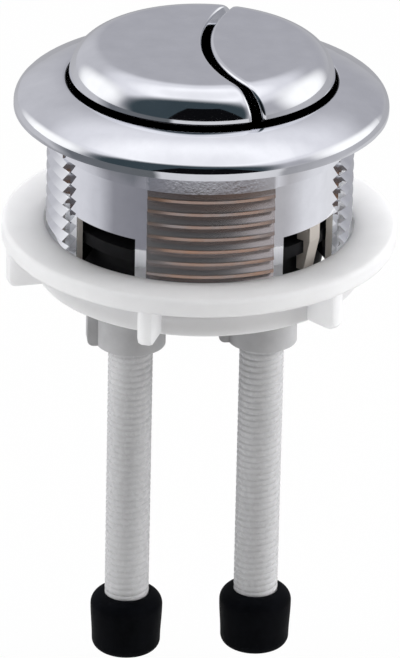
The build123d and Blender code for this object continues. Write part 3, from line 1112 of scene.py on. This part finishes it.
def add_tent():
    """A light tent that only reflections see: grey behind, bright overhead, dark in front."""
    material, nodes, links, glow = emission_material("tent")
    place = nodes.new("ShaderNodeTexCoord")
    along = nodes.new("ShaderNodeVectorMath")
    along.operation = "NORMALIZE"
    links.new(place.outputs["Object"], along.inputs[0])
    parts = nodes.new("ShaderNodeSeparateXYZ")
    links.new(along.outputs[0], parts.inputs[0])

    def spot(direction, inner, outer):
        """1 within an angle of a direction, fading to 0 at a wider one."""
        dot = nodes.new("ShaderNodeVectorMath")
        dot.operation = "DOT_PRODUCT"
        dot.inputs[1].default_value = Vector(direction).normalized()
        links.new(along.outputs[0], dot.inputs[0])
        start, end = math.cos(math.radians(outer)), math.cos(math.radians(inner))
        return map_range(nodes, links, dot.outputs["Value"], start, end, 0.0, 1.0, "SMOOTHSTEP")

    colour = colour_ramp(nodes, links, parts.outputs["Z"], TENT_STOPS, "EASE")
    for direction, inner, outer, shade in TENT_SPOTS:
        colour = blend(nodes, links, spot(direction, inner, outer), colour, (*shade, 1.0))
    links.new(colour, glow.inputs["Color"])
    glow.inputs["Strength"].default_value = TENT_STRENGTH

    mesh = bpy.data.meshes.new("tent")
    ball = bmesh.new()
    bmesh.ops.create_uvsphere(ball, u_segments=48, v_segments=24, radius=TENT_RADIUS)
    ball.to_mesh(mesh)
    ball.free()
    mesh.materials.append(material)
    reflection_only(add_object("tent", mesh))


SCREEN_RADIUS = 0.15
FULL_TURN = (-180.0, 180.0)


def add_card(
    name, low, high, material, low_span=FULL_TURN, high_span=FULL_TURN, low_radius=SCREEN_RADIUS,
):
    """A curved card round the axis that reflections see. Spans are azimuths in degrees from -Y."""
    steps = 72
    vertices, faces = [], []
    for step in range(steps + 1):
        for radius, height, (first, last) in (
            (low_radius, low, low_span), (SCREEN_RADIUS, high, high_span)
        ):
            turn = math.radians(first + (last - first) * step / steps)
            vertices.append((radius * math.sin(turn), -radius * math.cos(turn), height))
        if step < steps:
            base = 2 * step
            faces.append((base, base + 2, base + 3, base + 1))
    mesh = bpy.data.meshes.new(name)
    mesh.from_pydata(vertices, [], faces)
    mesh.materials.append(material)
    reflection_only(add_object(name, mesh))


def band_material(name, azimuth_stops):
    """Emission whose colour changes with the azimuth, in degrees from -Y."""
    material, nodes, links, glow = emission_material(name)
    place = nodes.new("ShaderNodeTexCoord")
    parts = nodes.new("ShaderNodeSeparateXYZ")
    links.new(place.outputs["Object"], parts.inputs[0])
    front = calculate(nodes, links, "MULTIPLY", parts.outputs["Y"], -1.0)
    turn = calculate(nodes, links, "ARCTAN2", parts.outputs["X"], front)
    share = map_range(nodes, links, turn, -math.pi, math.pi, 0.0, 1.0)
    stops = [((azimuth + 180.0) / 360.0, colour) for azimuth, colour in azimuth_stops]
    links.new(colour_ramp(nodes, links, share, stops), glow.inputs["Color"])
    return material


add_tent()
# Bands of the screen, from the one that the rim's foot reflects down to the floor
rim_glow = band_material("rim_band", [
    (-180.0, (0.40, 0.40, 0.42)),
    (-125.0, (0.62, 0.62, 0.65)),
    (-98.0, (0.62, 0.62, 0.65)),
    (-82.0, (0.16, 0.17, 0.19)),
    (-31.0, (0.13, 0.14, 0.15)),
    (-27.0, (0.74, 0.74, 0.77)),
    (36.0, (0.78, 0.78, 0.80)),
    (40.0, (0.36, 0.36, 0.38)),
    (75.0, (0.55, 0.55, 0.58)),
    (180.0, (0.40, 0.40, 0.42)),
])
neck_glow = band_material("neck_band", [
    (-180.0, (0.40, 0.40, 0.42)),
    (-125.0, (0.55, 0.55, 0.58)),
    (-90.0, (0.32, 0.32, 0.34)),
    (-50.0, (0.16, 0.17, 0.19)),
    (-34.0, (0.24, 0.24, 0.27)),
    (-10.0, (0.34, 0.34, 0.36)),
    (30.0, (0.34, 0.33, 0.35)),
    (55.0, (0.48, 0.47, 0.48)),
    (90.0, (0.74, 0.74, 0.76)),
    (180.0, (0.40, 0.40, 0.42)),
])
panel_glow = band_material("panel_band", [
    (-180.0, (0.40, 0.40, 0.42)),
    (-125.0, (0.80, 0.80, 0.84)),
    (-100.0, (0.74, 0.74, 0.78)),
    (-86.0, (0.61, 0.61, 0.65)),
    (-72.0, (0.30, 0.30, 0.33)),
    (-50.0, (0.25, 0.25, 0.28)),
    (-20.0, (0.12, 0.11, 0.11)),
    (20.0, (0.14, 0.11, 0.10)),
    (50.0, (0.45, 0.44, 0.45)),
    (63.0, (0.56, 0.55, 0.57)),
    (78.0, (0.80, 0.80, 0.83)),
    (95.0, (0.89, 0.89, 0.92)),
    (135.0, (0.78, 0.78, 0.80)),
    (180.0, (0.40, 0.40, 0.42)),
])
floor_glow = band_material("floor_band", [
    (-180.0, (0.40, 0.40, 0.42)),
    (-90.0, (0.36, 0.36, 0.38)),
    (-45.0, (0.10, 0.09, 0.10)),
    (-5.0, (0.12, 0.08, 0.06)),
    (25.0, (0.24, 0.14, 0.09)),
    (60.0, (0.40, 0.36, 0.33)),
    (180.0, (0.40, 0.40, 0.42)),
])
# Heights between the bands, in metres
RIM_BAND_TOP = 0.007
NECK_BAND_TOP = -0.0530
PANEL_BAND_TOP = -0.0597
FLOOR_BAND_TOP = -0.0800
FLOOR_BAND_BOTTOM = FLOOR_HEIGHT + 0.0005
FLOOR_BAND_RADIUS = 0.045
add_card("rim_band", NECK_BAND_TOP, RIM_BAND_TOP, rim_glow)
add_card("neck_band", PANEL_BAND_TOP, NECK_BAND_TOP, neck_glow)
add_card("panel_band", FLOOR_BAND_TOP, PANEL_BAND_TOP, panel_glow)
add_card(
    "floor_band", FLOOR_BAND_BOTTOM, FLOOR_BAND_TOP, floor_glow, low_radius=FLOOR_BAND_RADIUS,
)
# The black card above them, which the front of the buttons and of the rim reflects
BLACK_CARD_TOP = 0.125
black, _, _, glow = emission_material("black_card")
glow.inputs["Color"].default_value = (0.004, 0.004, 0.005, 1.0)
add_card(
    "black_card", RIM_BAND_TOP, BLACK_CARD_TOP, black,
    low_span=(-32.0, 27.0), high_span=(-19.0, 10.0),
)


def add_light(name, location, target, size, power):
    """A soft light that the object doesn't mirror."""
    data = bpy.data.lights.new(name, "AREA")
    data.shape = "RECTANGLE"
    data.size, data.size_y = size
    data.energy = power
    light = add_object(name, data)
    light.location = location
    aim = Vector(location) - Vector(target)
    light.rotation_mode = "QUATERNION"
    light.rotation_quaternion = aim.to_track_quat("Z", "Y")
    light.visible_glossy = False


add_light("top_light", (0.0, 0.45, 0.95), (0, 0, -0.03), (0.9, 0.9), 7.0)
add_light("left_light", (-0.90, -0.05, 0.35), (0, 0, -0.05), (0.4, 0.8), 5.5)
add_light("right_light", (0.90, -0.15, 0.35), (0, 0, -0.05), (0.4, 0.8), 8.0)

bpy.context.scene.view_settings.view_transform = "Standard"
